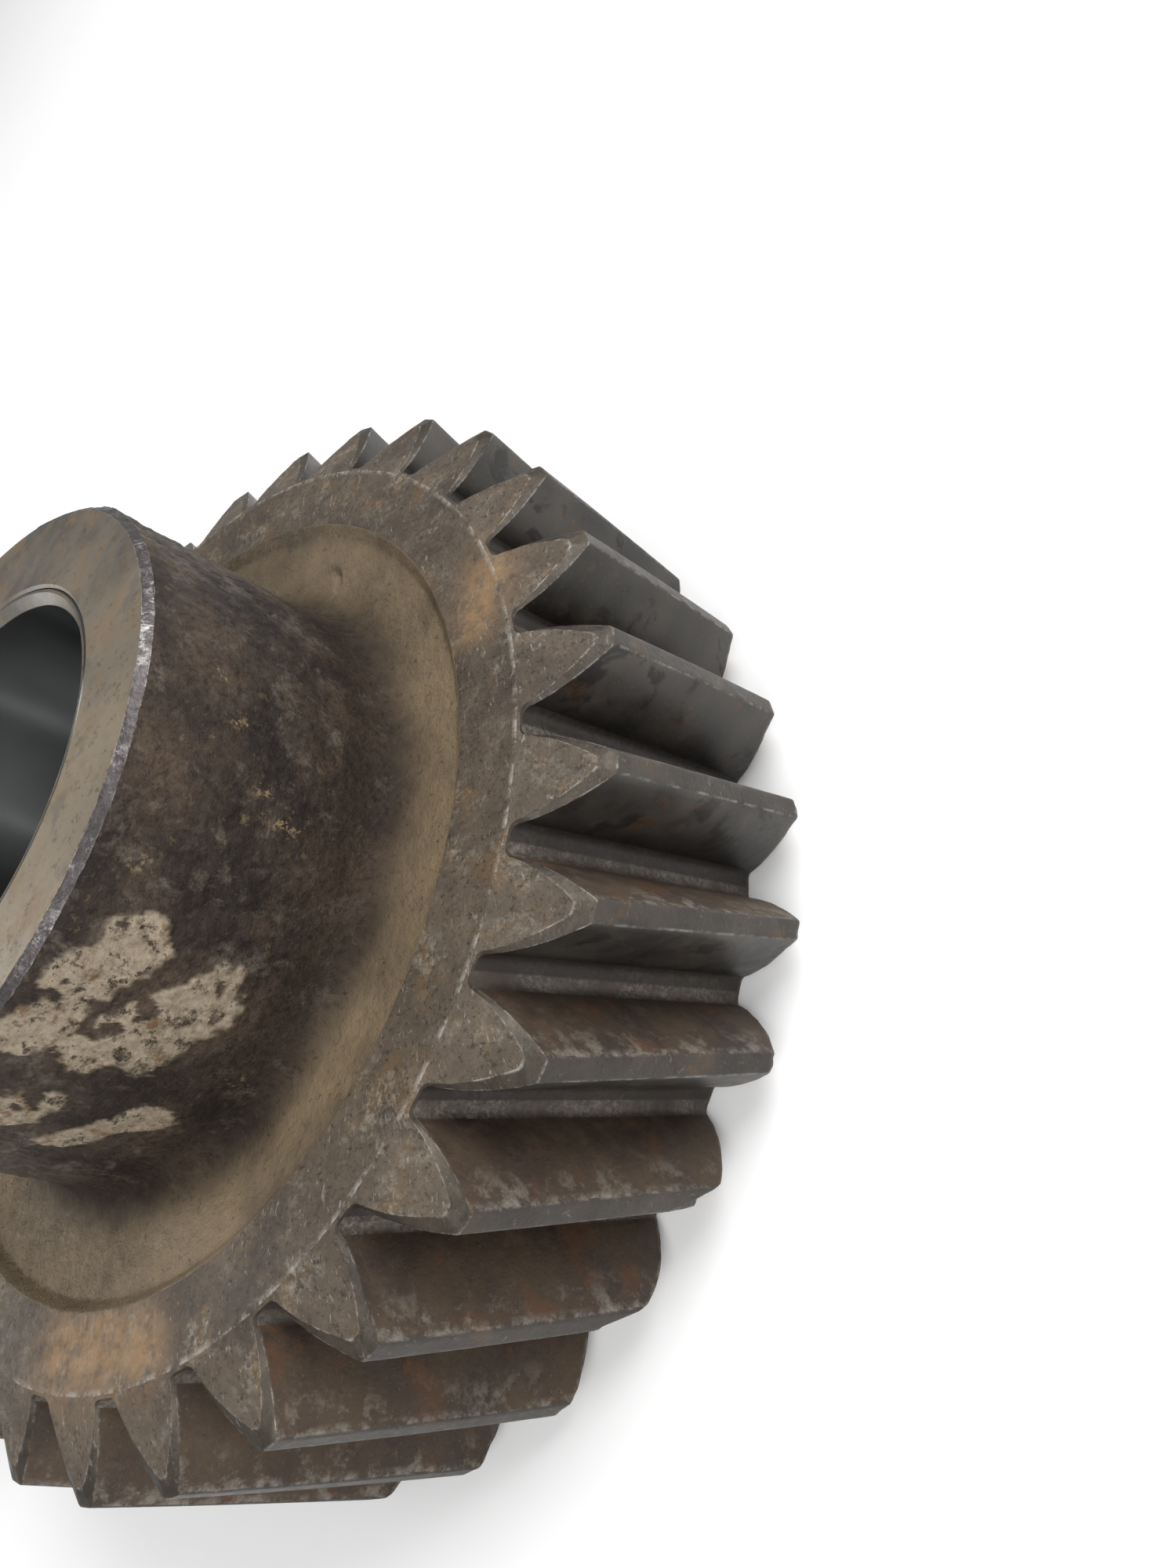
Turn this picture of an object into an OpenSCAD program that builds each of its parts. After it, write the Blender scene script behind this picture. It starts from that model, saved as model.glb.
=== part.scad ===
// Helical gear pair: a large gear with a long hub meshing with a smaller pinion.
// Each gear turns on a plain bush, and the bushes take the two shafts.
// Units are millimetres. The large gear's axis is Z, its back face is z = 0.

/* [Teeth] */
// Normal module of both gears
normal_module = 5; // [5:0.25:5.5]
// Number of teeth on the large gear
gear_teeth = 29; // [28:1:34]
// Number of teeth on the pinion
pinion_teeth = 17; // [16:1:22]
// Helix angle at the pitch circle, left hand on the large gear
helix_angle = 13; // [8:1:18]
// Pressure angle in the normal plane
pressure_angle = 25; // [22:0.5:25]
// Backlash at the pitch circle
backlash = 0.4; // [0.3:0.05:0.6]
// Radius of the fillet at the tooth root
root_fillet = 1.2; // [0.8:0.1:1.4]
// Slope of the tooth ends away from the rim face
end_slope = 18; // [10:1:20]
// Width of the chamfer round the tooth ends
end_chamfer = 2; // [1:0.25:2]

/* [Large gear] */
// Width of both toothed rims
face_width = 48; // [40:1:60]
// Thickness of the rim below the tooth roots
rim_wall = 9.9; // [8:0.1:12]
// Depth of the step from the rim face to the web
web_step = 1.6; // [1:0.1:3]
// Further fall of the web towards the hub
web_dish = 2.2; // [0.5:0.1:4]
// Height of the hub above the rim face
hub_height = 33.2; // [20:0.5:45]
// Outside radius of the hub at its end
hub_radius = 42.4; // [40:0.1:45]
// Outward taper of the hub wall towards the web
hub_draft = 1.2; // [0:0.1:2]
// Radius of the fillet between hub and web
hub_fillet = 7; // [3:0.5:9]
// Radius of the bore in the large gear
gear_bore_radius = 30; // [27:0.25:31]

/* [Pinion] */
// Height of the pinion hub above the rim face
pinion_hub_height = 9; // [4:0.5:30]
// Outside radius of the pinion hub
pinion_hub_radius = 31; // [27:0.5:34]
// Radius of the bore in the pinion
pinion_bore_radius = 20; // [17:0.25:22]

/* [Bushes] */
// Wall thickness of both bushes
bush_wall = 2; // [2:0.25:3.5]
// Radial clearance between a bush and the gear that turns on it
running_clearance = 0.04; // [0.02:0.01:0.08]
// Distance from the top of a hub down to the end of its bush
bush_setback = 0.2; // [0.1:0.1:4]
// Width of the chamfer in the mouth of a bush
bush_chamfer = 1.3; // [0.5:0.1:1.4]

/* [Hidden] */
$fn = 180;
eps = 0.5;
flank_steps = 4;
body_steps = 4;
addendum = normal_module;
dedendum = 1.25 * normal_module;
transverse_angle = atan(tan(pressure_angle) / cos(helix_angle));
gear_pitch = pitch_radius(gear_teeth);
pinion_pitch = pitch_radius(pinion_teeth);
centre_distance = gear_pitch + pinion_pitch;
gear_root = gear_pitch - dedendum;
recess_radius = gear_root - rim_wall;
hub_top = face_width + hub_height;
pinion_top = face_width + pinion_hub_height;
web_depth = web_step + web_dish;
bore_chamfer = 0.4;
hub_chamfer = 1;
edge_break = 0.3;
groove_inner = 37;
groove_depth = 3;

gear_colour = [0.33, 0.28, 0.24];
bush_colour = [0.45, 0.45, 0.46];

// pitch radius of a gear with this many teeth
function pitch_radius(teeth) = teeth * normal_module / (2 * cos(helix_angle));

// involute function, in degrees
function involute(a) = tan(a) * 180 / PI - a;

// half angle of a tooth at radius r
function half_tooth(teeth, r) =
    let(
        rp = pitch_radius(teeth),
        rb = rp * cos(transverse_angle),
        at_r = acos(min(1, rb / r)),
        thinning = backlash / 4 / rp * 180 / PI
    )
    90 / teeth + involute(transverse_angle) - involute(at_r) - thinning;

// points [radius, angle from the tooth centre] from the gap centre up to the tip
function half_profile(teeth) =
    let(
        tip = pitch_radius(teeth) + addendum,
        root = pitch_radius(teeth) - dedendum,
        start = root + root_fillet,
        gap = 180 / teeth - half_tooth(teeth, start),
        deg = 180 / PI / root
    )
    concat(
        [[root, 180 / teeth]],
        [for (t = [0, 45])
            [root + root_fillet * (1 - cos(t)),
             180 / teeth - gap + root_fillet * (1 - sin(t)) * deg]],
        [for (i = [0 : flank_steps])
            let(r = start + (tip - start) * i / flank_steps)
            [r, half_tooth(teeth, r)]]
    );

// one whole tooth as [radius, signed angle]
function tooth_profile(teeth) =
    let(half = half_profile(teeth), n = len(half))
    concat(
        [for (p = half) [p[0], -p[1]]],
        [for (i = [n - 1 : -1 : 1]) [half[i][0], half[i][1]]]
    );

// how far up the tooth a radius is, 0 at the root and 1 at the tip
function height_on_tooth(teeth, r) =
    (r - pitch_radius(teeth) + dedendum) / (addendum + dedendum);

// depth of the sloped tooth end below the rim face
function end_drop(teeth, r) =
    tan(end_slope) * (r - pitch_radius(teeth) + dedendum + eps);

// the chamfered tooth end: [radius, angle, depth]
function end_point(teeth, p) =
    let(
        up = height_on_tooth(teeth, p[0]),
        r = p[0] - end_chamfer * up,
        side = abs(p[1]) > 179 / teeth ? 0 : sign(p[1]),
        inset = end_chamfer / 2 * (0.3 + 0.6 * up) * 180 / PI / p[0]
    )
    [r, p[1] - side * inset, end_drop(teeth, r)];

// where the full tooth starts: [radius, angle, depth]
function full_point(teeth, p) =
    let(up = height_on_tooth(teeth, p[0]))
    [p[0], p[1], end_drop(teeth, p[0]) + end_chamfer * (0.2 + 0.1 * up)];

// one ring of points round the gear; level counts from the bottom face
function ring_point(teeth, p, level) =
    let(
        last = body_steps + 6,
        from_end = min(level, last - level),
        e = end_point(teeth, p),
        f = full_point(teeth, p),
        s = (level - 2) / (body_steps + 2),
        root = pitch_radius(teeth) - dedendum
    )
    from_end == 0 ? [root - eps, e[1], level == 0 ? 0 : face_width]
    : from_end == 1 ? [e[0], e[1], level == 1 ? e[2] : face_width - e[2]]
    : [f[0], f[1], f[2] + (face_width - 2 * f[2]) * s];

// the toothed rim as a solid disc; hand is 1 for right and -1 for left
module toothed_disc(teeth, hand, turn) {
    profile = tooth_profile(teeth);
    n = len(profile);
    count = n * teeth;
    top = body_steps + 6;
    rate = hand * tan(helix_angle) / pitch_radius(teeth) * 180 / PI;
    points = [
        for (level = [0 : top])
            for (k = [0 : teeth - 1])
                for (p = profile)
                    let(
                        q = ring_point(teeth, p, level),
                        a = turn + 360 * k / teeth + q[1] + rate * (q[2] - face_width / 2)
                    )
                    [q[0] * cos(a), q[0] * sin(a), q[2]]
    ];
    sides = [
        for (level = [0 : top - 1])
            for (i = [0 : count - 1])
                let(
                    a = level * count + i,
                    b = level * count + (i + 1) % count
                )
                each [[a, a + count, b], [b, a + count, b + count]]
    ];
    floor_face = [for (i = [0 : count - 1]) i];
    top_face = [for (i = [count - 1 : -1 : 0]) top * count + i];
    polyhedron(points, concat(sides, [floor_face, top_face]), convexity = 12);
}

// dished recess in a face of the large gear, drawn for the top face
module web_recess() {
    rotate_extrude()
        polygon([
            [0, face_width + 1],
            [0, face_width - web_depth],
            [hub_radius + hub_fillet, face_width - web_depth],
            [recess_radius - web_step, face_width - web_step],
            [recess_radius, face_width],
            [recess_radius, face_width + 1]
        ]);
}

// shallow groove round the back face of the large gear
module back_recess() {
    rotate_extrude()
        polygon([
            [groove_inner, -1],
            [groove_inner, 0],
            [groove_inner + groove_depth, groove_depth],
            [recess_radius - groove_depth, groove_depth],
            [recess_radius, 0],
            [recess_radius, -1]
        ]);
}

// hub of the large gear with its fillet into the web
module gear_hub() {
    foot = face_width - web_depth;
    base = hub_radius + hub_draft;
    rotate_extrude()
        difference() {
            polygon([
                [0, foot - 6],
                [base + hub_fillet + 2, foot - 6],
                [base + hub_fillet + 2, foot],
                [base + hub_fillet, foot],
                [base, foot + hub_fillet],
                [hub_radius, hub_top - hub_chamfer],
                [hub_radius - hub_chamfer, hub_top],
                [0, hub_top]
            ]);
            translate([base + hub_fillet, foot + hub_fillet])
                circle(r = hub_fillet);
        }
}

// bore with a chamfer at both ends
module bore_cut(radius, top) {
    rotate_extrude()
        polygon([
            [0, -1],
            [radius + bore_chamfer, -1],
            [radius + bore_chamfer, 0],
            [radius, bore_chamfer],
            [radius, top - bore_chamfer],
            [radius + bore_chamfer, top],
            [radius + bore_chamfer, top + 1],
            [0, top + 1]
        ]);
}

// the large gear, left hand
module gear() {
    color(gear_colour)
        difference() {
            union() {
                difference() {
                    toothed_disc(gear_teeth, -1, 180);
                    web_recess();
                    back_recess();
                }
                gear_hub();
            }
            bore_cut(gear_bore_radius, hub_top);
        }
}

// the pinion, right hand, with a tooth gap facing the large gear
module pinion() {
    color(gear_colour)
        translate([-centre_distance, 0, 0])
            difference() {
                union() {
                    toothed_disc(pinion_teeth, 1, 180 / pinion_teeth);
                    rotate_extrude()
                        polygon([
                            [0, face_width - 4],
                            [pinion_hub_radius, face_width - 4],
                            [pinion_hub_radius, pinion_top - hub_chamfer],
                            [pinion_hub_radius - hub_chamfer, pinion_top],
                            [0, pinion_top]
                        ]);
                }
                bore_cut(pinion_bore_radius, pinion_top);
            }
}

// plain bush, flush with the back face, with a chamfered mouth at the hub end
module bush(bore_radius, length) {
    outside = bore_radius - running_clearance;
    inside = bore_radius - bush_wall;
    rotate_extrude()
        polygon([
            [inside, 0],
            [outside - edge_break, 0],
            [outside, edge_break],
            [outside, length - edge_break],
            [outside - edge_break, length],
            [inside + bush_chamfer, length],
            [inside, length - bush_chamfer]
        ]);
}

module gear_bush() {
    color(bush_colour)
        bush(gear_bore_radius, hub_top - bush_setback);
}

module pinion_bush() {
    color(bush_colour)
        translate([-centre_distance, 0, 0])
            bush(pinion_bore_radius, pinion_top - bush_setback);
}

gear();
gear_bush();
pinion();
pinion_bush();
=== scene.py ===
import math
import bpy
import numpy as np
from mathutils import Matrix, Vector, noise


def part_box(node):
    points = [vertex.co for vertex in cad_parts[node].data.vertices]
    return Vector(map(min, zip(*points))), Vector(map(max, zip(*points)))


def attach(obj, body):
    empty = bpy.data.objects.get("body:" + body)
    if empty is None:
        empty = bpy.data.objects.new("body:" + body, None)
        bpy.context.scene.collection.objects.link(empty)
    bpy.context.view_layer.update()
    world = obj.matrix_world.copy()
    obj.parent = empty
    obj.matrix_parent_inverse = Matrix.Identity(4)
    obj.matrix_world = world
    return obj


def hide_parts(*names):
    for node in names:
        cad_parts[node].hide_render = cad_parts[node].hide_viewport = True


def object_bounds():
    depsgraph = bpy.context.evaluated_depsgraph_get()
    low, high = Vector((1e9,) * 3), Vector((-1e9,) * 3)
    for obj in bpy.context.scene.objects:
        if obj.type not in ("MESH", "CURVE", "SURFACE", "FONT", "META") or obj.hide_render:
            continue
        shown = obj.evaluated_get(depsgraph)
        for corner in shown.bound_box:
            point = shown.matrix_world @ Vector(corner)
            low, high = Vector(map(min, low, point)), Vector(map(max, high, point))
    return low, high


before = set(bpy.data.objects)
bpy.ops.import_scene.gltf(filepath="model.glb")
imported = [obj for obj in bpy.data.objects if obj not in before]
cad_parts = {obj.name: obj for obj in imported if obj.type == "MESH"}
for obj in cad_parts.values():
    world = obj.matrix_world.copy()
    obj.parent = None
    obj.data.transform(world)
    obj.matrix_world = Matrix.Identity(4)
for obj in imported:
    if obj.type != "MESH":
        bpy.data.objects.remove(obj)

CAD_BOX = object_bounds()
MM = 0.001

# ---- sizes, as in part.scad; places come from the frame ----
MODULE = 5 * MM
FACE_WIDTH = 48 * MM
RIM_WALL = 9.9 * MM
WEB_STEP = 1.6 * MM
WEB_DEPTH = 3.8 * MM
HUB_RADIUS = 42.4 * MM
HUB_DRAFT = 1.2 * MM
HUB_FILLET = 7 * MM
HUB_CHAMFER = 1 * MM
BORE_RADIUS = 30 * MM
BORE_CHAMFER = 0.4 * MM
GROOVE_INNER = 37 * MM
GROOVE_DEPTH = 3 * MM
PINION_HUB_RADIUS = 31 * MM
PINION_BORE_RADIUS = 20 * MM
BUSH_WALL = 2 * MM
RUNNING_CLEARANCE = 0.04 * MM
BUSH_MOUTH = 1.3 * MM
EDGE_BREAK = 0.3 * MM
HELIX = math.radians(13)
PRESSURE = math.atan(math.tan(math.radians(25)) / math.cos(HELIX))
BACKLASH = 0.4 * MM
FILLET = 1.2 * MM
END_SLOPE = math.tan(math.radians(18))
CHAMFER = 2 * MM
EPS = 0.5 * MM

# ---- how finely the teeth are drawn, and how far their wear reaches ----
FLANK_POINTS = 13
FILLET_POINTS = 6
BODY_RINGS = 30
END_STEPS = (0, 0.015, 0.03, 0.06, 0.1, 0.22, 0.36, 0.5, 0.64, 0.78, 0.9, 0.97)
CHAMFER_STEPS = (0, 0.12, 0.3, 0.5, 0.7, 0.88)
BACK_ROUNDING = 0.8 * MM
BACK_WEAR = 14 * MM
BUSH_COLUMNS = 288

# ---- the finishes, in the order of the material slots ----
ZONES = ["bore", "turned", "bright", "forged", "rim", "tooth_chamfer", "drive", "coast", "root", "land"]
# longest distance between rings
STEP = {"bore": 6 * MM, "turned": 1.2 * MM, "bright": 0.3 * MM, "forged": 0.5 * MM, "rim": 0.7 * MM}
# depth of the uneven skin; body is the whole tooth between its chamfers
SKIN_DEPTH = {"forged": 0.17 * MM, "rim": 0.03 * MM, "bright": 0.09 * MM, "tooth_chamfer": 0.08 * MM,
              "body": 0.02 * MM}
# what a surface's own colour is multiplied by, so that it shows its display colour under the lamps
UNDER_LAMPS = 0.72

# ---- marks on the web and rim, past the pinion's reach: radius in mm, angle in degrees, size in mm ----
CRESCENT = (50.6, 52.4, 2.8)
CRESCENT_CENTRE = (49.3, 55, 5)
NICK = (53.3, 22, 0.9)
SMALL_DENTS = ((57, 4, 0.7), (55, -8, 0.7), (59, -31, 0.7), (56, 70, 0.7), (60, 100, 0.7))
RUST_SPOTS = ((66, 17, 4.5), (63, 12, 3), (62, -92, 6), (63, -101, 6), (64, -84, 4), (64, 150, 6))
# flakes on the hub wall: angle in degrees, height in mm, size in mm
HUB_FLAKES = ((3.6, 70.6, 1.6), (-12.7, 63.7, 1.8), (-16.5, 59.5, 2.6), (-30, 75, 1.8),
              (-58, 50.6, 2.5), (-4, 68, 1.6))
# paint dabs on the hub wall: both ends as (degrees, height in mm), and half the width in mm
PAINT_DABS = (((-40, 70), (-48, 75), 3.4), ((-46, 60), (-60, 68), 4.4), ((-55, 74), (-60, 77), 2.4),
              ((-69, 56), (-83, 65), 2.2), ((-70, 68), (-86, 77), 2.4))


def span(node):
    low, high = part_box(node)
    return Vector(low), Vector(high)


def ramp(x, low, high):
    """0 below low, 1 above high, and a smooth step between."""
    t = np.clip((x - low) / (high - low), 0, 1)
    return t * t * (3 - 2 * t)


def octaves(points, size, depth=3):
    """Fractal noise in about -1..1 for each point; size is the largest feature in metres."""
    return np.array([noise.fractal(Vector(p) / size, 0.7, 2.1, depth) for p in points])


class Gear:
    """The numbers of one gear: its teeth, its pitch, tip and root radii, and its place.

    hand is 1 for right and -1 for left, turn is the angle of its first tooth in radians, and
    chipped is the angle in degrees of the tooth whose back end is broken most.
    """

    def __init__(self, node, teeth, hand, turn, chipped):
        low, high = span(node + "_bush")
        self.node = node
        self.teeth = teeth
        self.turn = turn
        self.chipped = chipped
        self.centre = ((low + high) / 2).xy.to_3d()
        self.top = span(node)[1].z
        self.pitch = teeth * MODULE / (2 * math.cos(HELIX))
        self.base = self.pitch * math.cos(PRESSURE)
        self.tip = self.pitch + MODULE
        self.root = self.pitch - 1.25 * MODULE
        self.face = FACE_WIDTH
        self.rate = hand * math.tan(HELIX) / self.pitch

    def half_tooth(self, r):
        """Half the angle of a tooth at radius r, from the involute."""
        at = np.arccos(np.minimum(1, self.base / np.maximum(r, 1e-6)))
        inv = math.tan(PRESSURE) - PRESSURE - (np.tan(at) - at)
        return math.pi / 2 / self.teeth + inv - BACKLASH / 4 / self.pitch

    def half_profile(self):
        """Points (radius, angle from the tooth centre, zone) from the gap centre to the tip."""
        gap_all = math.pi / self.teeth
        start = self.root + FILLET
        gap = gap_all - self.half_tooth(start)
        flat = gap - FILLET / self.root
        out = [(self.root, gap_all - flat * t, "root") for t in (0, 0.33, 0.66)]
        for t in np.linspace(0, math.pi / 2, FILLET_POINTS)[:-1]:
            out.append((self.root + FILLET * (1 - math.cos(t)),
                        gap_all - flat - FILLET / self.root * math.sin(t), "root"))
        corner = 0.3 * MM
        for r in np.linspace(start, self.tip - corner, FLANK_POINTS):
            out.append((r, float(self.half_tooth(r)), "flank"))
        land = float(self.half_tooth(self.tip - 0.05 * MM)) - 0.1 * MM / self.tip
        out.append((self.tip - 0.07 * MM, land + 0.02 * MM / self.tip, "land"))
        out.append((self.tip, land - 0.18 * MM / self.tip, "land"))
        out.append((self.tip, land * 0.5, "land"))
        out.append((self.tip, 0.0, "land"))
        return out

    def columns(self):
        """For every column round the gear: radius, angle from its tooth, the tooth's angle,
        the angle it would have if the columns were evenly spread, and zone."""
        half = self.half_profile()
        tooth = [(r, -a, "drive" if zone == "flank" else zone) for r, a, zone in half]
        tooth += [(r, a, "coast" if zone == "flank" else zone) for r, a, zone in half[-2:0:-1]]
        r = np.tile([p[0] for p in tooth], self.teeth)
        pitch_angle = 2 * math.pi / self.teeth
        centre = np.repeat(np.arange(self.teeth), len(tooth)) * pitch_angle + self.turn
        local = np.tile([p[1] for p in tooth], self.teeth)
        even = np.tile(np.arange(len(tooth)) / len(tooth) - 0.5, self.teeth) * pitch_angle
        zone = np.tile([ZONES.index(p[2]) for p in tooth], self.teeth)
        return r, local, centre, even, zone

    def drop(self, r):
        """Depth of the sloped tooth end below the rim face."""
        return END_SLOPE * (r - self.root + EPS)

    def up(self, r):
        """0 at the root and 1 at the tip."""
        return np.clip((r - self.root) / (self.tip - self.root), 0, 1)


def fillet_line(points, steps=4):
    """A line of (r, z, corner radius, zone of the run that follows) with its corners rounded."""
    out = []
    for i, (r, z, radius, zone) in enumerate(points):
        corner = Vector((r, z))
        if radius <= 0 or i in (0, len(points) - 1):
            out.append((r, z, zone))
            continue
        before = Vector(points[i - 1][:2]) - corner
        after = Vector(points[i + 1][:2]) - corner
        half = before.angle(after) / 2
        cut = min(radius / math.tan(half), before.length * 0.48, after.length * 0.48)
        start = corner + before.normalized() * cut
        end = corner + after.normalized() * cut
        n = max(steps, int(radius / (0.9 * MM)) + 1)
        for k in range(n + 1):
            t = k / n
            q = start * (1 - t) ** 2 + corner * 2 * t * (1 - t) + end * t ** 2
            out.append((q.x, q.y, zone if t > 0.5 else points[i - 1][3]))
    return out


def subdivide(line):
    """The line with points added, so that no run is longer than its finish's step allows."""
    out = []
    for (r0, z0, zone), (r1, z1, _) in zip(line, line[1:]):
        n = max(1, int(math.hypot(r1 - r0, z1 - z0) / STEP[zone]))
        out += [(r0 + (r1 - r0) * k / n, z0 + (z1 - z0) * k / n, zone) for k in range(n)]
    return out + [line[-1]]


def tooth_end(g, r, local, back):
    """Rows (radius, angle, depth below the end, zone) from the rim face over one end of the teeth.

    back is how far the tips of that end are rounded off.
    """
    up = g.up(r)
    r_end = r - CHAMFER * up
    inset = CHAMFER / 2 * (0.3 + 0.6 * up) / r
    inset = inset * np.where(local > 0, 0.35, 1.0) * (np.abs(local) < math.pi / g.teeth * 0.999)
    a_end = local - np.sign(local) * inset
    z_end = g.drop(r_end)
    z_full = g.drop(r) + CHAMFER * (0.2 + 0.1 * up) + back * up ** 2
    r_inner = np.full_like(r, g.root - EPS)
    rows = []
    for t in END_STEPS:
        rows.append((r_inner + (r_end - r_inner) * t, a_end, z_end * t, "rim"))
    for t in CHAMFER_STEPS:
        bulge = t + (1 - t) * t * (0.9 if back else 0)
        rows.append((r_end + (r - r_end) * bulge, a_end + (local - a_end) * bulge,
                     z_end + (z_full - z_end) * t, "tooth_chamfer"))
    return rows, z_full


def chips(g, r, local, centre):
    """How far each column's back end is broken away: most on the working side of a few teeth."""
    angle = centre + local
    place = np.stack([np.cos(angle), np.sin(angle), r * 0], -1) * r[:, None]
    ragged = np.clip(0.5 + octaves(place, 6 * MM, 4), 0, 1)
    off = (centre - math.radians(g.chipped) + math.pi) % (2 * math.pi) - math.pi
    worst = np.exp(-(off / math.radians(10)) ** 4)
    across = np.clip(0.5 - 0.5 * local / g.half_tooth(g.tip - 0.3 * MM), 0, 1)
    return g.up(r) ** 3 * (0.9 * ragged + worst * (1.8 + 8 * across * (0.6 + 0.4 * ragged))) * MM


def tooth_rings(g):
    """Rings from the top rim face round the teeth to the bottom one, as (r, angle, z, zone) rows."""
    r, local, centre, even, zone = g.columns()
    rows, z_top = tooth_end(g, r, local, 0)
    top = [(a, b, g.face - c, z) for a, b, c, z in rows]
    rows, z_low = tooth_end(g, r, local, BACK_ROUNDING)
    chip = chips(g, r, local, centre)
    low = [(a, b, c + chip * g.up(a), z) for a, b, c, z in rows[::-1]]
    body = []
    for t in np.concatenate([[0, 0.006], np.linspace(0.02, 0.98, BODY_RINGS), [0.994]]):
        z = (g.face - z_top) * (1 - t) + z_low * t
        body.append((r, local, z + chip * np.clip(1 - (z - z_low) / BACK_WEAR, 0, 1), "body"))
    return top + body + low, centre, even, zone


def build_rings(g, upper, lower):
    """The closed list of rings: up the bore, out over the top, round the teeth, back underneath."""
    teeth, centre, even, column_zone = tooth_rings(g)
    one = np.ones(len(centre))
    rings = []
    for line, edge, following in ((upper, teeth[0], teeth[:-1]), (lower, teeth[-1], [])):
        for r, z, zone in subdivide(line)[:-1]:
            w = min(1, max(0, (g.root - EPS - r) / (6 * MM)))
            rings.append((one * r, edge[1] * (1 - w) + even * w, one * z, zone))
        rings += following
    return rings, centre, column_zone


class Skin:
    """Radius, angle, height, place and zone of every vertex of one gear, as (ring, column) grids."""

    def __init__(self, g, upper, lower):
        rings, centre, column_zone = build_rings(g, upper, lower)
        self.g, self.rows, self.n = g, len(rings), len(centre)
        self.r = np.array([k[0] for k in rings])
        self.z = np.array([k[2] for k in rings])
        twist = g.rate * (np.clip(self.z, 0, g.face) - g.face / 2)
        self.a = np.array([k[1] for k in rings]) + centre + twist
        self.ring = np.array([k[3] for k in rings])
        fixed = [None if k == "body" else ZONES.index(k) for k in self.ring]
        self.zone = np.array([column_zone if k is None else column_zone * 0 + k for k in fixed])
        self.co = self.r[..., None] * np.stack([np.cos(self.a), np.sin(self.a), self.a * 0], -1)
        self.co[..., 2] = self.z
        self.up = g.up(self.r)
        self.side = np.sign(next(k[1] for k in rings if k[3] == "body"))
        self.blank = np.zeros((self.rows, self.n))

    def near(self, mark):
        """1 at a mark on the top of the blank, falling off with distance from it."""
        radius, degrees, size = mark
        angle = math.radians(degrees)
        spot = np.array([radius * MM * math.cos(angle), radius * MM * math.sin(angle)])
        d = np.linalg.norm(self.co[..., :2] - spot, axis=-1)
        return np.exp(-(d / (size * MM)) ** 2) * (self.z > self.g.face - 8 * MM)

    def noise(self, mask, size, depth=3):
        """Fractal noise where mask is set, 0 elsewhere."""
        out = self.blank.copy()
        out[mask] = octaves(self.co[mask], size, depth)
        return out

    def mesh(self, name):
        """The grid as a closed mesh: quads between rings, round the gear and back to the first ring."""
        i, j = np.meshgrid(np.arange(self.rows), np.arange(self.n), indexing="ij")
        up, right = (i + 1) % self.rows * self.n, (j + 1) % self.n
        corners = i * self.n + j, up + j, up + right, i * self.n + right
        faces = np.stack([c.ravel() for c in corners], -1)
        mesh = bpy.data.meshes.new(name)
        place = self.co + np.array(self.g.centre)
        mesh.from_pydata(place.reshape(-1, 3).tolist(), [], faces.tolist())
        mesh.update()
        mesh.polygons.foreach_set("material_index", self.zone.astype(np.int32).ravel())
        return mesh


# ---- what wear, dirt and paint cover, as vertex attributes ----
def edge_wear(s):
    """1 on the rubbed edges of teeth and hub, on the crease round the roots and on the nick."""
    wear = s.blank.copy()
    before = np.roll(s.ring, 1)
    corner = (s.ring != before) & ((s.ring == "tooth_chamfer") | (before == "tooth_chamfer"))
    lathe = (s.ring != before) & ((s.ring == "bright") | (before == "bright"))
    wear[corner] = (ramp(s.up, 0.0, 0.15) * np.where(s.side > 0, 0.7, 1))[corner]
    wear[lathe] = 1
    crease = (np.abs(s.r - s.g.root + EPS) < 0.1 * MM) & (s.z > s.g.face - 1 * MM)
    wear[crease] = 0.9
    land = s.zone[np.nonzero(s.ring == "body")[0][0]] == ZONES.index("land")
    wear[np.ix_(s.ring == "body", land != np.roll(land, 1))] = 0.8
    return np.maximum(wear, s.near(NICK))


def web_light(s):
    """0 on the hub wall, 1 out on the web, with a soft uneven border in the hub's fillet."""
    uneven = s.noise(np.outer(s.ring == "forged", np.ones(s.n, bool)), 9 * MM, 3) * 1.6 * MM
    outward = (s.r - HUB_RADIUS - HUB_DRAFT) - (s.z - s.g.face + WEB_DEPTH)
    return np.where(s.z < s.g.face / 2, 1, ramp(outward + uneven, -2.5 * MM, 5.5 * MM))


def painted_shade(s):
    """Painted shade in the hub's fillet, along the foot of each working flank, in the half of each root
    beside it, and in the dents.
    """
    fillet = np.exp(-((s.r - 45.5 * MM) / (3 * MM)) ** 2)
    fillet = fillet * (s.z > s.g.face - 4 * MM) * (s.z < s.g.face + 5 * MM)
    foot = (s.zone == ZONES.index("drive")) * (1 - ramp(s.up, 0.1, 0.4))
    foot = np.maximum(foot, (s.zone == ZONES.index("root")) * (s.side < 0))
    return np.maximum(np.maximum(fillet, foot), np.clip(dents(s) / (1.2 * MM), 0, 1))


def rust(s):
    """Orange patches on the rim face, flakes on the hub, and on the turned end a painted light that is
    strongest on one side.
    """
    patches = sum(s.near(spot) for spot in RUST_SPOTS)
    for degrees, height, size in HUB_FLAKES:
        arc = (s.a - math.radians(degrees) + math.pi) % (2 * math.pi) - math.pi
        d = np.hypot(arc * 43 * MM * 1.8, s.z - height * MM)
        patches = patches + np.exp(-(d / (size * MM)) ** 2) * (s.ring == "forged")[:, None]
    # painted light: the turned end is lighter towards about -65 degrees
    blend = 0.5 - 0.5 * np.sin(s.a - math.radians(25))
    return np.where(s.zone == ZONES.index("turned"), blend, np.clip(patches, 0, 1))


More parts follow.
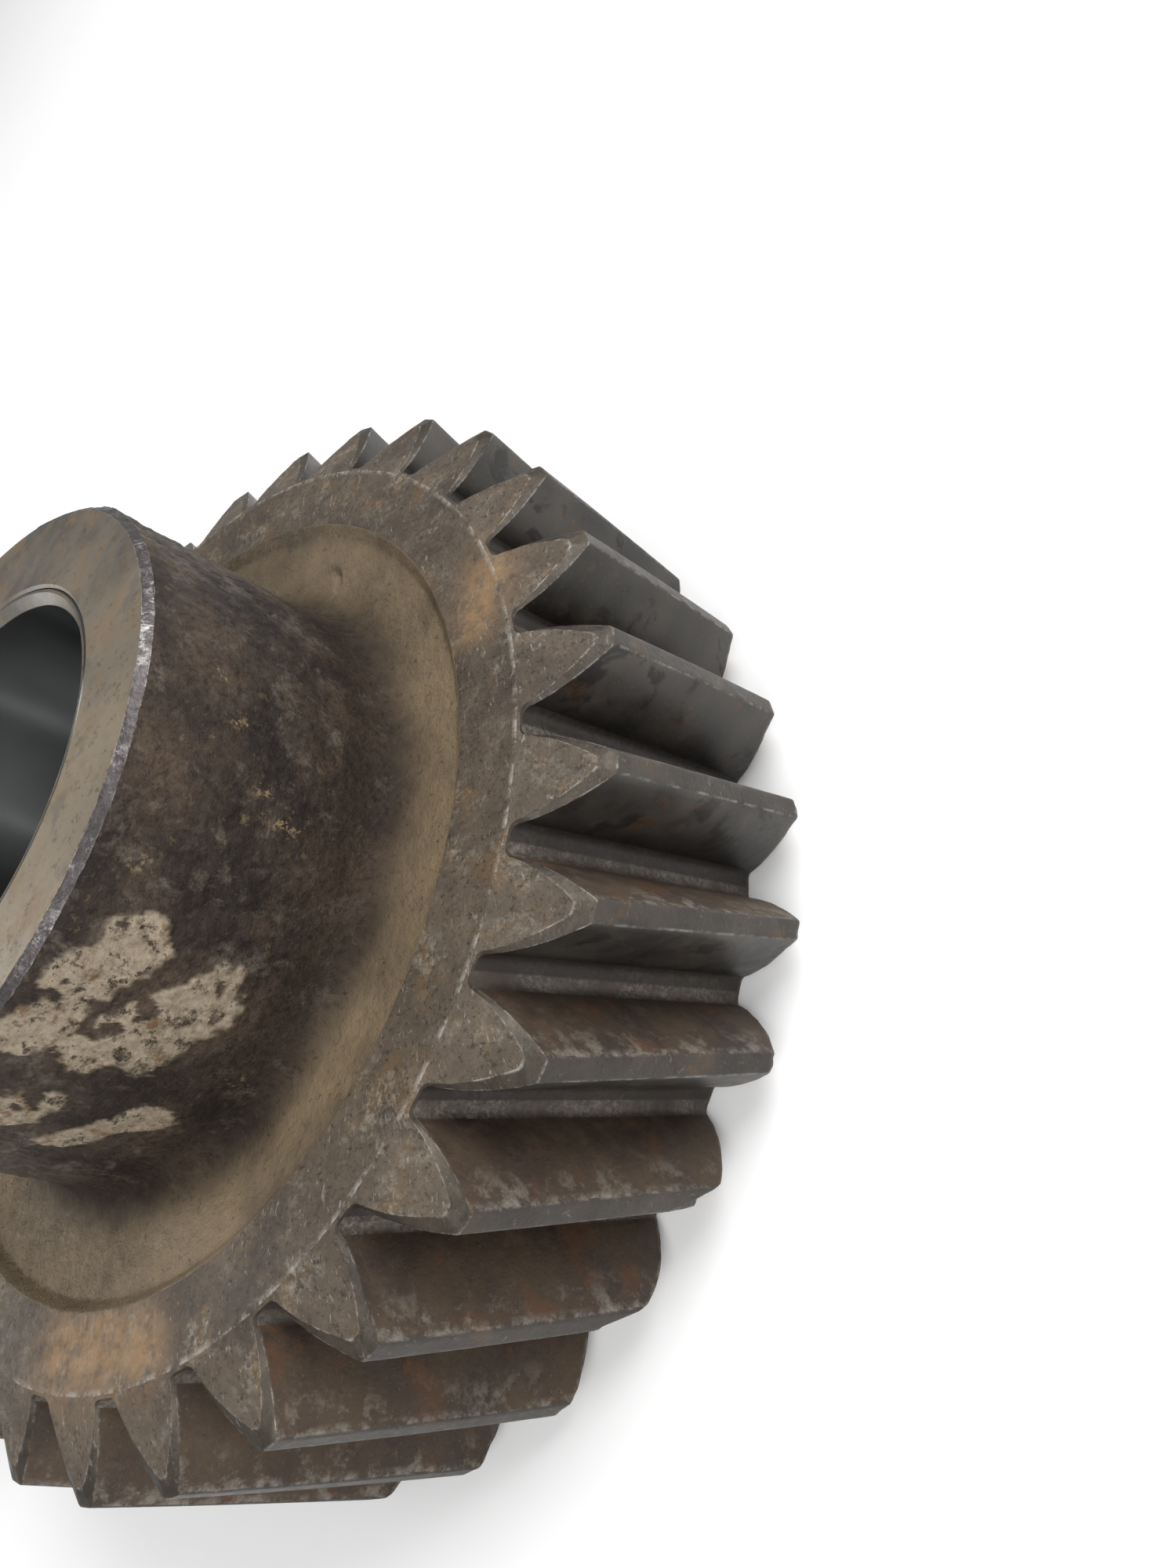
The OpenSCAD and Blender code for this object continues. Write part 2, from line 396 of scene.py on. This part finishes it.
def dents(s):
    """Depth of the knocks on the web: a crescent, a nick, and a few shallow ones."""
    reach = CRESCENT_CENTRE[2] * MM
    from_centre = np.sqrt(-np.log(np.maximum(s.near(CRESCENT_CENTRE), 1e-9))) * reach
    bend = np.exp(-((from_centre - 2.4 * MM) / (0.7 * MM)) ** 2)
    crescent = bend * s.near(CRESCENT)
    small = sum(s.near(dent) for dent in SMALL_DENTS)
    return (crescent * 1.12 + s.near(NICK) * 0.35 + small * 0.2) * MM


def hub_paint(s):
    """Worn, slanted brush dabs of cream paint on the hub wall."""
    mask = np.outer(s.ring == "forged", np.ones(s.n, bool)) & (s.z > s.g.face + 2 * MM)
    p = s.co[mask]
    flat = np.stack([np.degrees(np.arctan2(p[:, 1], p[:, 0])), p[:, 2] / MM], -1)
    ragged = octaves(p, 7 * MM, 5) * 2.2
    to_mm = np.array([math.radians(43), 1])
    value = np.full(len(p), -1.0)
    for a, b, width in PAINT_DABS:
        inside = width - capsule(flat * to_mm, a * to_mm, b * to_mm) + ragged
        value = np.maximum(value, inside / 0.6)
    value = value - 8 * ramp(octaves(p + 5, 6 * MM, 3), 0.32, 0.45)
    out = s.blank.copy()
    out[mask] = np.clip(value, 0, 1)
    return out


def capsule(p, a, b):
    """Distance from points p to the line from a to b."""
    t = np.clip(((p - a) @ (b - a)) / max((b - a) @ (b - a), 1e-12), 0, 1)
    return np.linalg.norm(p - (a + t[:, None] * (b - a)), axis=1)


def smooth_object(name, mesh, sharp_degrees):
    """An object with smooth shading, apart from edges sharper than an angle."""
    mesh.shade_smooth()
    mesh.set_sharp_from_angle(angle=math.radians(sharp_degrees))
    obj = bpy.data.objects.new(name, mesh)
    bpy.context.scene.collection.objects.link(obj)
    return obj


def attribute(mesh, name, values):
    layer = mesh.attributes.new(name, "FLOAT", "POINT")
    layer.data.foreach_set("value", np.asarray(values, np.float32).ravel())


def relief(mesh, s, paint):
    """Moves the vertices along their normals for forging skin, knocks, nicked edges and paint."""
    normal = np.zeros(s.rows * s.n * 3, np.float32)
    mesh.vertices.foreach_get("normal", normal)
    depth = np.array([SKIN_DEPTH.get(name, 0) for name in s.ring])
    mask = np.outer(depth > 0, np.ones(s.n, bool))
    shift = depth[:, None] * (s.noise(mask, 6 * MM, 4) + 0.7 * s.noise(mask, 1.4 * MM, 2))
    foot = 1 - 0.75 * ramp(s.g.face + 9 * MM - s.z, 0, 5 * MM)
    shift = shift * np.where(s.zone == ZONES.index("forged"), 1.3 * foot, 1)
    shift += 0.16 * MM * paint - dents(s)
    moved = s.co + normal.reshape(s.rows, s.n, 3) * shift[..., None]
    moved[..., 2] = np.clip(moved[..., 2], 0, s.g.top)
    over = np.maximum(1, np.hypot(moved[..., 0], moved[..., 1]) / (s.g.tip - 0.01 * MM))
    moved[..., :2] /= over[..., None]
    moved += np.array(s.g.centre)
    mesh.vertices.foreach_set("co", moved.astype(np.float32).ravel())
    mesh.update()


def gear_object(g, name, upper, lower, painted):
    s = Skin(g, upper, lower)
    mesh = s.mesh(name)
    paint = hub_paint(s) if painted else s.blank
    relief(mesh, s, paint)
    layers = {
        "wear": edge_wear(s),
        "height": s.up,
        "paint": paint,
        "web": web_light(s),
        "rust": rust(s),
        "painted_shade": painted_shade(s),
    }
    for key, values in layers.items():
        attribute(mesh, key, values)
    mesh.validate()
    return smooth_object(name, mesh, 28)


# ---- the lathe lines of the two gears: r, z, corner radius, finish of the run that follows ----
def large_gear_lines(g):
    top, face = g.top, g.face
    recess = g.root - RIM_WALL
    mouth = BORE_RADIUS + BORE_CHAMFER
    middle = 40 * MM
    upper = fillet_line([
        (BORE_RADIUS, middle, 0, "bore"),
        (BORE_RADIUS, top - BORE_CHAMFER, 0.1 * MM, "turned"),
        (mouth, top, 0.15 * MM, "turned"),
        (HUB_RADIUS - HUB_CHAMFER, top, 0.25 * MM, "bright"),
        (HUB_RADIUS, top - HUB_CHAMFER, 0.3 * MM, "forged"),
        (HUB_RADIUS + HUB_DRAFT, face - WEB_DEPTH, HUB_FILLET, "forged"),
        (recess - WEB_STEP, face - WEB_STEP, 1.2 * MM, "forged"),
        (recess, face, 0.5 * MM, "rim"),
        (g.root - EPS, face, 0, "rim"),
    ])
    lower = fillet_line([
        (g.root - EPS, 0, 0, "rim"),
        (recess, 0, 0.5 * MM, "forged"),
        (recess - GROOVE_DEPTH, GROOVE_DEPTH, 1.5 * MM, "forged"),
        (GROOVE_INNER + GROOVE_DEPTH, GROOVE_DEPTH, 1.5 * MM, "forged"),
        (GROOVE_INNER, 0, 0.5 * MM, "rim"),
        (mouth, 0, 0.15 * MM, "turned"),
        (BORE_RADIUS, BORE_CHAMFER, 0.1 * MM, "bore"),
        (BORE_RADIUS, middle, 0, "bore"),
    ])
    return upper, lower


def pinion_lines(g):
    top, face = g.top, g.face
    mouth = PINION_BORE_RADIUS + BORE_CHAMFER
    middle = 30 * MM
    upper = fillet_line([
        (PINION_BORE_RADIUS, middle, 0, "bore"),
        (PINION_BORE_RADIUS, top - BORE_CHAMFER, 0.1 * MM, "turned"),
        (mouth, top, 0.15 * MM, "turned"),
        (PINION_HUB_RADIUS - HUB_CHAMFER, top, 0.25 * MM, "bright"),
        (PINION_HUB_RADIUS, top - HUB_CHAMFER, 0.3 * MM, "forged"),
        (PINION_HUB_RADIUS, face, 1.2 * MM, "rim"),
        (g.root - EPS, face, 0, "rim"),
    ])
    lower = fillet_line([
        (g.root - EPS, 0, 0, "rim"),
        (mouth, 0, 0.15 * MM, "turned"),
        (PINION_BORE_RADIUS, BORE_CHAMFER, 0.1 * MM, "bore"),
        (PINION_BORE_RADIUS, middle, 0, "bore"),
    ])
    return upper, lower


# ---- bushes ----
def bush_line(outer, length):
    """Half the section of a plain bush as (r, z, finish), with a chamfered mouth at the top."""
    inner = outer + RUNNING_CLEARANCE - BUSH_WALL
    line = fillet_line([
        (inner, length / 2, 0, "bore"),
        (inner, length - BUSH_MOUTH, 0.3 * MM, "turned"),
        (inner + BUSH_MOUTH, length, 0.15 * MM, "turned"),
        (outer - EDGE_BREAK, length, 0.1 * MM, "bore"),
        (outer, length - EDGE_BREAK, 0.1 * MM, "bore"),
        (outer, EDGE_BREAK, 0.1 * MM, "bore"),
        (outer - EDGE_BREAK, 0, 0.1 * MM, "bore"),
        (inner, 0, 0.15 * MM, "bore"),
        (inner, length / 2, 0, "bore"),
    ])
    return subdivide(line)[:-1]


def bush_object(node, name):
    """A plain bush turned from its section; its place, diameter and length come from its node."""
    low, high = span(node)
    centre = ((low + high) / 2).xy
    line = bush_line((high.x - low.x) / 2, high.z)
    n, m = BUSH_COLUMNS, len(line)
    turn = [2 * math.pi * k / n for k in range(n)]
    verts = [(r * math.cos(t) + centre.x, r * math.sin(t) + centre.y, z) for r, z, _ in line for t in turn]
    faces = [(i * n + k, (i + 1) % m * n + k, (i + 1) % m * n + (k + 1) % n, i * n + (k + 1) % n)
             for i in range(m) for k in range(n)]
    mesh = bpy.data.meshes.new(name)
    mesh.from_pydata(verts, [], faces)
    mesh.update()
    finish = np.repeat([ZONES.index(zone) for _, _, zone in line], n)
    mesh.polygons.foreach_set("material_index", finish.astype(np.int32))
    return smooth_object(name, mesh, 30)


# ---- node helpers ----
def tone(red, green, blue):
    """A surface's own colour from the display values, 0 to 255, that it shows under the lamps."""
    return tuple((k / 255) ** 2.2 * UNDER_LAMPS for k in (red, green, blue))


class Mat:
    """A material and short calls that add its nodes. Sizes and distances are in millimetres."""

    OBJECT_COORDINATES = 3
    ATTRIBUTE_FACTOR = 2
    MIX_FACTOR, MIX_A, MIX_B, MIX_COLOR_OUT = 0, 6, 7, 2

    def __init__(self, name):
        self.mat = bpy.data.materials.new(name)
        self.mat.use_nodes = True
        self.nodes, self.links = self.mat.node_tree.nodes, self.mat.node_tree.links
        self.bsdf = self.nodes["Principled BSDF"]

    def put(self, socket, value):
        if isinstance(value, bpy.types.NodeSocket):
            self.links.new(value, socket)
        else:
            socket.default_value = value

    def add(self, kind, out=0, props=None, **inputs):
        node = self.nodes.new(kind)
        for key, value in (props or {}).items():
            setattr(node, key, value)
        for key, value in inputs.items():
            self.put(node.inputs[key.replace("_", " ")], value)
        return node.outputs[out]

    def math(self, op, a, b=0.0, c=0.0):
        node = self.nodes.new("ShaderNodeMath")
        node.operation = op
        for k, value in enumerate((a, b, c)):
            self.put(node.inputs[k], value)
        return node.outputs[0]

    def noise(self, size, detail=4.0, rough=0.6, stretch=(1, 1, 1), distort=0.0):
        """Noise whose largest features are size millimetres across."""
        coord = self.add("ShaderNodeTexCoord", out=self.OBJECT_COORDINATES)
        place = self.add("ShaderNodeMapping", Vector=coord, Scale=list(stretch))
        return self.add("ShaderNodeTexNoise", Vector=place, Scale=1 / (size * MM), Detail=detail,
                        Roughness=rough, Distortion=distort)

    def range(self, value, a, b, c=0.0, d=1.0):
        """Takes value from a..b to c..d, and holds it there."""
        return self.add("ShaderNodeMapRange", Value=value, From_Min=a, From_Max=b, To_Min=c, To_Max=d)

    def attr(self, name):
        props = {"attribute_name": name}
        return self.add("ShaderNodeAttribute", out=self.ATTRIBUTE_FACTOR, props=props)

    def times(self, a, b):
        return self.math("MULTIPLY", a, b)

    def mix(self, fac, a, b):
        node = self.nodes.new("ShaderNodeMix")
        node.data_type = "RGBA"
        for k, value in ((self.MIX_FACTOR, fac), (self.MIX_A, a), (self.MIX_B, b)):
            if isinstance(value, (tuple, list)):
                value = (*value, 1.0)[:4]
            self.put(node.inputs[k], value)
        return node.outputs[self.MIX_COLOR_OUT]

    def bump(self, height, distance, strength=1.0, normal=None):
        node = self.nodes.new("ShaderNodeBump")
        node.inputs["Strength"].default_value = strength
        node.inputs["Distance"].default_value = distance * MM
        self.put(node.inputs["Height"], height)
        if normal:
            self.put(node.inputs["Normal"], normal)
        return node.outputs[0]

    def finish(self, color, roughness, metallic, normal=None):
        self.put(self.bsdf.inputs["Base Color"], color)
        self.put(self.bsdf.inputs["Roughness"], roughness)
        self.put(self.bsdf.inputs["Metallic"], metallic)
        if normal:
            self.put(self.bsdf.inputs["Normal"], normal)
        return self.mat


# ---- finishes ----
def steel(m, dark, light, stain=None, stain_from=0.6):
    """Oxidised steel: broad blotches from dark to light, dark grains, and stains of one colour."""
    color = m.mix(m.range(m.noise(11, 5, 0.6), 0.36, 0.64), dark, light)
    color = m.mix(m.range(m.noise(2.4, 4, 0.65), 0.5, 0.72, 0, 0.45), color, [k * 1.5 for k in light])
    color = m.mix(m.range(m.noise(0.7, 3, 0.7), 0.56, 0.74, 0, 0.55), color, [k * 0.4 for k in dark])
    if stain:
        patch = m.range(m.noise(7, 4, 0.6, distort=0.5), stain_from, stain_from + 0.1, 0, 0.85)
        color = m.mix(patch, color, stain)
    return color


def rubbed(m, color, bright, scratches=0.4):
    """Adds fine scratches, and bright nicks where the edges are worn."""
    line = m.range(m.noise(0.5, 4, 0.6, stretch=(1, 0.3, 0.6), distort=1.0), 0.62, 0.7, 0, scratches)
    color = m.mix(line, color, bright)
    nick = m.times(m.attr("wear"), m.range(m.noise(2.2, 5, 0.75), 0.46, 0.62))
    return m.mix(nick, color, bright)


def grain(m, coarse=0.1, fine=0.05):
    return m.bump(m.noise(0.6, 3, 0.7), fine, 1.0, m.bump(m.noise(2.2, 4, 0.65), coarse, 1.0))


def bore_steel():
    """Ground steel with fine rings from the hone, which draw the light out along the bore."""
    m = Mat("bore_steel")
    smear = m.noise(16, 3, 0.5)
    color = m.mix(m.range(smear, 0.4, 0.65), tone(96, 97, 97), tone(84, 85, 85))
    m.bsdf.inputs["Anisotropic"].default_value = 0.98
    m.bsdf.inputs["Anisotropic Rotation"].default_value = 0.25
    around = m.add("ShaderNodeTangent", props={"direction_type": "RADIAL", "axis": "Z"})
    m.put(m.bsdf.inputs["Tangent"], around)
    normal = m.bump(m.noise(4, 2, 0.5, stretch=(0.25, 0.25, 24)), 0.01, 0.6)
    return m.finish(color, m.range(smear, 0.3, 0.7, 0.15, 0.19), 0.8, normal)


def turned_face():
    """The hub's turned end: smooth, warm grey, painted lighter and tanner towards one side, with faint
    tool rings.
    """
    m = Mat("turned_face")
    # painted light: one side of the end face lighter and tanner, with uneven patches
    blend = m.math("ADD", m.attr("rust"), m.range(m.noise(12, 4, 0.6), 0.3, 0.7, -0.4, 0.4))
    color = m.mix(blend, tone(98, 92, 83), tone(166, 151, 128))
    color = m.mix(m.range(m.noise(3, 4, 0.6), 0.45, 0.75, 0, 0.4), color, tone(112, 108, 104))
    color = m.mix(m.range(m.noise(5, 5, 0.7), 0.5, 0.62, 0, 0.6), color, tone(150, 124, 92))
    color = m.mix(m.range(m.noise(8, 5, 0.7), 0.52, 0.62, 0, 0.45), color, tone(92, 90, 88))
    color = m.mix(m.range(m.noise(1.3, 4, 0.8), 0.57, 0.64, 0, 0.6), color, tone(84, 74, 64))
    color = rubbed(m, color, tone(176, 170, 160), 0.15)
    return m.finish(color, m.range(m.noise(5, 3, 0.6), 0.3, 0.7, 0.36, 0.5), 0.45, grain(m, 0.03, 0.015))


def bright_chamfer():
    """The hub's turned corner: grey, knocked bright in places."""
    m = Mat("bright_chamfer")
    color = steel(m, tone(68, 63, 63), tone(90, 84, 84))
    stretch = m.range(m.noise(15, 3, 0.6), 0.44, 0.6)
    nicked = m.times(stretch, m.range(m.noise(1.3, 4, 0.75), 0.5, 0.62))
    color = m.mix(nicked, color, tone(182, 178, 174))
    color = rubbed(m, color, tone(206, 202, 200), 0.3)
    return m.finish(color, m.range(m.noise(1.4, 4, 0.7), 0.3, 0.7, 0.3, 0.55), 0.6, grain(m, 0.16, 0.05))


def forging_scale():
    """Forging scale: near black on the hub with brown scabs, tan on the web; and the cream paint."""
    m = Mat("forging_scale")
    hub = m.mix(m.range(m.noise(14, 5, 0.6), 0.38, 0.62), tone(50, 43, 40), tone(90, 76, 64))
    hub = m.mix(m.range(m.noise(5, 5, 0.7, distort=0.4), 0.54, 0.66, 0, 0.7), hub, tone(112, 102, 91))
    hub = m.mix(m.range(m.noise(1.8, 5, 0.8), 0.6, 0.68, 0, 0.8), hub, tone(165, 143, 108))
    hub = m.mix(m.range(m.noise(0.9, 4, 0.75), 0.46, 0.66, 0, 0.75), hub, tone(34, 29, 28))
    web = m.mix(m.range(m.noise(15, 4, 0.6), 0.36, 0.64), tone(113, 99, 81), tone(148, 129, 103))
    web = m.mix(m.range(m.noise(3.5, 4, 0.65), 0.52, 0.74, 0, 0.5), web, tone(146, 132, 112))
    web = m.mix(m.range(m.noise(0.9, 4, 0.75), 0.58, 0.7, 0, 0.75), web, tone(58, 50, 44))
    flake = m.times(m.attr("rust"), m.range(m.noise(1.4, 5, 0.8), 0.53, 0.6, 0, 0.9))
    hub = m.mix(flake, hub, tone(164, 143, 108))
    color = m.mix(m.attr("web"), hub, web)
    # painted shade in the hub's fillet and in the dents
    color = m.mix(m.times(m.attr("painted_shade"), 0.5), color, tone(44, 36, 29))
    blend = m.times(m.attr("paint"), m.range(m.noise(2, 5, 0.75), 0.36, 0.45))
    cream = m.mix(m.range(m.noise(1.1, 3, 0.7), 0.38, 0.66), tone(176, 161, 141), tone(142, 128, 108))
    cream = m.mix(m.range(m.noise(4, 4, 0.65), 0.58, 0.66, 0, 0.85), cream, tone(112, 84, 58))
    color = m.mix(blend, color, cream)
    color = rubbed(m, color, tone(150, 144, 138), 0.12)
    scale = m.math("ADD", m.noise(2.4, 5, 0.7), m.times(blend, 0.3))
    normal = m.bump(m.noise(0.7, 3, 0.7), 0.12, 1.0, m.bump(scale, 0.5, 1.0))
    m.bsdf.inputs["Specular IOR Level"].default_value = 0.25
    rough = m.range(m.noise(2, 4, 0.7), 0.3, 0.7, 0.45, 0.75)
    rough = m.math("ADD", rough, m.times(m.attr("painted_shade"), 0.2))
    return m.finish(color, rough, 0.2, normal)


def rim_face():
    """Rim and tooth ends: grey brown, speckled, smeared light where it was handled, with orange rust."""
    m = Mat("rim_face")
    color = steel(m, tone(84, 74, 65), tone(110, 98, 84), tone(116, 95, 70), 0.54)
    color = m.mix(m.range(m.noise(0.8, 4, 0.8), 0.54, 0.64, 0, 0.75), color, tone(50, 43, 38))
    color = m.mix(m.range(m.noise(0.45, 4, 0.8), 0.62, 0.68, 0, 0.5), color, tone(150, 138, 122))
    smear = m.range(m.noise(7, 3, 0.6), 0.5, 0.68)
    smear = m.times(smear, m.range(m.noise(0.9, 5, 0.8), 0.46, 0.62))
    color = m.mix(m.times(smear, 0.75), color, tone(168, 162, 150))
    orange = m.mix(m.noise(2, 4, 0.7), tone(138, 110, 80), tone(186, 152, 114))
    rusted = m.times(m.attr("rust"), m.range(m.noise(3, 4, 0.7), 0.3, 0.55))
    color = m.mix(rusted, color, orange)
    color = rubbed(m, color, tone(186, 180, 170), 0.55)
    return m.finish(color, m.range(m.noise(2.4, 4, 0.65), 0.3, 0.7, 0.5, 0.75), 0.3, grain(m, 0.14, 0.06))


def tooth_chamfer():
    """The chamfer round the tooth ends: darker than the rim, with bright scratches."""
    m = Mat("tooth_chamfer")
    color = steel(m, tone(62, 56, 49), tone(86, 78, 68))
    color = rubbed(m, color, tone(168, 164, 156), 0.4)
    return m.finish(color, m.range(m.noise(2, 4, 0.65), 0.3, 0.7, 0.4, 0.6), 0.5, grain(m))


def drive_flank():
    """The working side of the teeth: smooth grey, glossy, with dark oil stains."""
    m = Mat("drive_flank")
    color = m.mix(m.range(m.noise(12, 4, 0.55), 0.36, 0.64), tone(60, 57, 53), tone(84, 80, 75))
    color = m.mix(m.range(m.noise(8, 5, 0.65, distort=0.6), 0.56, 0.61, 0, 0.8), color, tone(44, 40, 39))
    color = m.mix(m.range(m.noise(5, 4, 0.7), 0.56, 0.68, 0, 0.6), color, tone(100, 76, 54))
    color = m.mix(m.range(m.noise(0.5, 4, 0.8), 0.64, 0.7, 0, 0.45), color, tone(124, 116, 104))
    # painted shade along the foot of the flank
    color = m.mix(m.times(m.attr("painted_shade"), 0.75), color, tone(30, 27, 25))
    color = rubbed(m, color, tone(156, 152, 144), 0.12)
    return m.finish(color, m.range(m.noise(3, 3, 0.6), 0.3, 0.7, 0.36, 0.5), 0.5, grain(m, 0.03, 0.015))


def coast_flank():
    """The idle side of the teeth: brown rust, grained, frosted pale towards the tip."""
    m = Mat("coast_flank")
    color = steel(m, tone(60, 47, 39), tone(82, 67, 51), tone(94, 64, 43), 0.56)
    color = m.mix(m.range(m.noise(0.5, 4, 0.8), 0.62, 0.7, 0, 0.5), color, tone(122, 108, 88))
    edge = m.range(m.attr("height"), 0.55, 0.95)
    frost = m.times(edge, m.range(m.noise(4, 5, 0.75), 0.52, 0.64))
    color = m.mix(m.times(frost, 0.75), color, tone(136, 128, 116))
    color = rubbed(m, color, tone(140, 134, 124), 0.1)
    return m.finish(color, m.range(m.noise(2.4, 4, 0.65), 0.3, 0.7, 0.55, 0.8), 0.2, grain(m, 0.1, 0.06))


def tooth_root():
    """Between the teeth: brown grey with a frosted band."""
    m = Mat("tooth_root")
    color = steel(m, tone(66, 57, 50), tone(82, 73, 65))
    frost = m.range(m.noise(6, 3, 0.6), 0.36, 0.6)
    frost = m.times(frost, m.range(m.noise(0.7, 5, 0.85), 0.44, 0.6))
    color = m.mix(frost, color, tone(128, 120, 110))
    # painted shade in the half of the root beside the working flank
    color = m.mix(m.times(m.attr("painted_shade"), 0.8), color, tone(40, 35, 32))
    return m.finish(color, 0.62, 0.25, grain(m))


def top_land():
    """The tops of the teeth: grey, scratched, with a few brown stains."""
    m = Mat("top_land")
    color = steel(m, tone(62, 57, 53), tone(80, 74, 68), tone(92, 76, 60), 0.58)
    color = rubbed(m, color, tone(150, 146, 140), 0.4)
    return m.finish(color, m.range(m.noise(2.4, 4, 0.65), 0.3, 0.7, 0.38, 0.58), 0.55, grain(m))


def materials():
    """One finish for each zone, in the order of ZONES."""
    return [bore_steel(), turned_face(), bright_chamfer(), forging_scale(), rim_face(), tooth_chamfer(),
            drive_flank(), coast_flank(), tooth_root(), top_land()]


# ---- scene ----
def floor():
    """A plain pale floor, a hair below the gears."""
    low, high = CAD_BOX
    mesh = bpy.data.meshes.new("floor")
    x, y = [(low[k] + high[k]) / 2 for k in range(2)]
    half = 2.5
    corners = [(x + half * i, y + half * j, 0) for i, j in ((-1, -1), (1, -1), (1, 1), (-1, 1))]
    mesh.from_pydata(corners, [], [(0, 1, 2, 3)])
    obj = bpy.data.objects.new("floor", mesh)
    obj.location.z = -0.2 * MM
    bpy.context.scene.collection.objects.link(obj)
    m = Mat("floor")
    color = m.mix(m.noise(50, 3, 0.5), (0.93, 0.93, 0.93), (0.95, 0.95, 0.95))
    mesh.materials.append(m.finish(color, 0.9, 0.0))


def camera(g):
    """Close to the large gear, looking down past the end of its hub."""
    data = bpy.data.cameras.new("camera")
    data.sensor_fit = "HORIZONTAL"
    data.sensor_width = 36
    data.lens = 38
    data.clip_start = 5 * MM
    target = g.centre + Vector((58.92, 0.72, 24)) * MM
    back = compass(-45.1, 42.76)
    distance = 167 * MM
    roll = Matrix.Rotation(math.radians(-60), 3, "Z")
    turn = back.to_track_quat("Z", "Y").to_matrix() @ roll
    obj = bpy.data.objects.new("camera", data)
    obj.matrix_world = Matrix.Translation(target + back * distance) @ turn.to_4x4()
    bpy.context.scene.collection.objects.link(obj)
    bpy.context.scene.camera = obj
    return obj


def area(name, aim, direction, distance, size, power, spread=180):
    """A rectangular lamp that shines on aim from a direction, kept out of the camera's view."""
    data = bpy.data.lights.new(name, "AREA")
    data.shape = "RECTANGLE"
    data.size, data.size_y = size
    data.energy = power
    data.spread = math.radians(spread)
    obj = bpy.data.objects.new(name, data)
    toward = Vector(direction).normalized()
    turn = toward.to_track_quat("Z", "Y").to_matrix().to_4x4()
    obj.matrix_world = Matrix.Translation(aim + toward * distance) @ turn
    bpy.context.scene.collection.objects.link(obj)
    obj.visible_camera = False


def compass(azimuth, elevation):
    """The direction at an azimuth and an elevation in degrees."""
    a, e = math.radians(azimuth), math.radians(elevation)
    return Vector((math.cos(e) * math.cos(a), math.cos(e) * math.sin(a), math.sin(e)))


def lights(g, cam):
    """A key from the top of the picture, a fill, a sheen from behind the hub, and two narrow
    beams that draw streaks on the bore's wall."""
    up = cam.matrix_world.to_3x3().col[1]
    back = cam.matrix_world.to_3x3().col[2]
    aim = g.centre + Vector((0, 0, 40 * MM))
    area("key", aim, up + back * 0.6, distance=1.7, size=(1.2, 0.9), power=25)
    area("fill", aim, compass(-55, 42), distance=1.0, size=(0.8, 0.6), power=7.0)
    area("sheen", aim, compass(172, 20), distance=0.9, size=(0.4, 0.3), power=1.5)
    bush_bore = BORE_RADIUS - BUSH_WALL
    for name, azimuth, wall in (("beam_a", -105, 105), ("beam_b", -31, 142)):
        inside = g.centre + compass(wall, 0) * bush_bore + Vector((0, 0, g.top - 15 * MM))
        direction = compass(azimuth, 42)
        area(name, inside, direction, distance=0.4, size=(0.004, 0.02), power=0.0045, spread=4)


def surroundings():
    """White light from all round, and colours shown as they are."""
    world = bpy.data.worlds.new("world")
    world.use_nodes = True
    sky = world.node_tree.nodes["Background"]
    sky.inputs["Color"].default_value = (1, 1, 1, 1)
    sky.inputs["Strength"].default_value = 0.4
    bpy.context.scene.world = world
    bpy.context.scene.view_settings.view_transform = "Standard"


def main():
    big = Gear("gear", teeth=29, hand=-1, turn=math.pi, chipped=-49.6)
    small = Gear("pinion", teeth=17, hand=1, turn=math.pi / 17, chipped=200)
    cam = camera(big)
    finishes = materials()
    for g, lines, painted in ((big, large_gear_lines, True), (small, pinion_lines, False)):
        obj = gear_object(g, g.node + "_body", *lines(g), painted)
        for mat in finishes:
            obj.data.materials.append(mat)
        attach(obj, g.node)
        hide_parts(g.node)
    for node in ("gear_bush", "pinion_bush"):
        obj = bush_object(node, node + "_sleeve")
        for mat in finishes[:2]:
            obj.data.materials.append(mat)
        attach(obj, "bushes")
        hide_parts(node)
    floor()
    lights(big, cam)
    surroundings()


main()
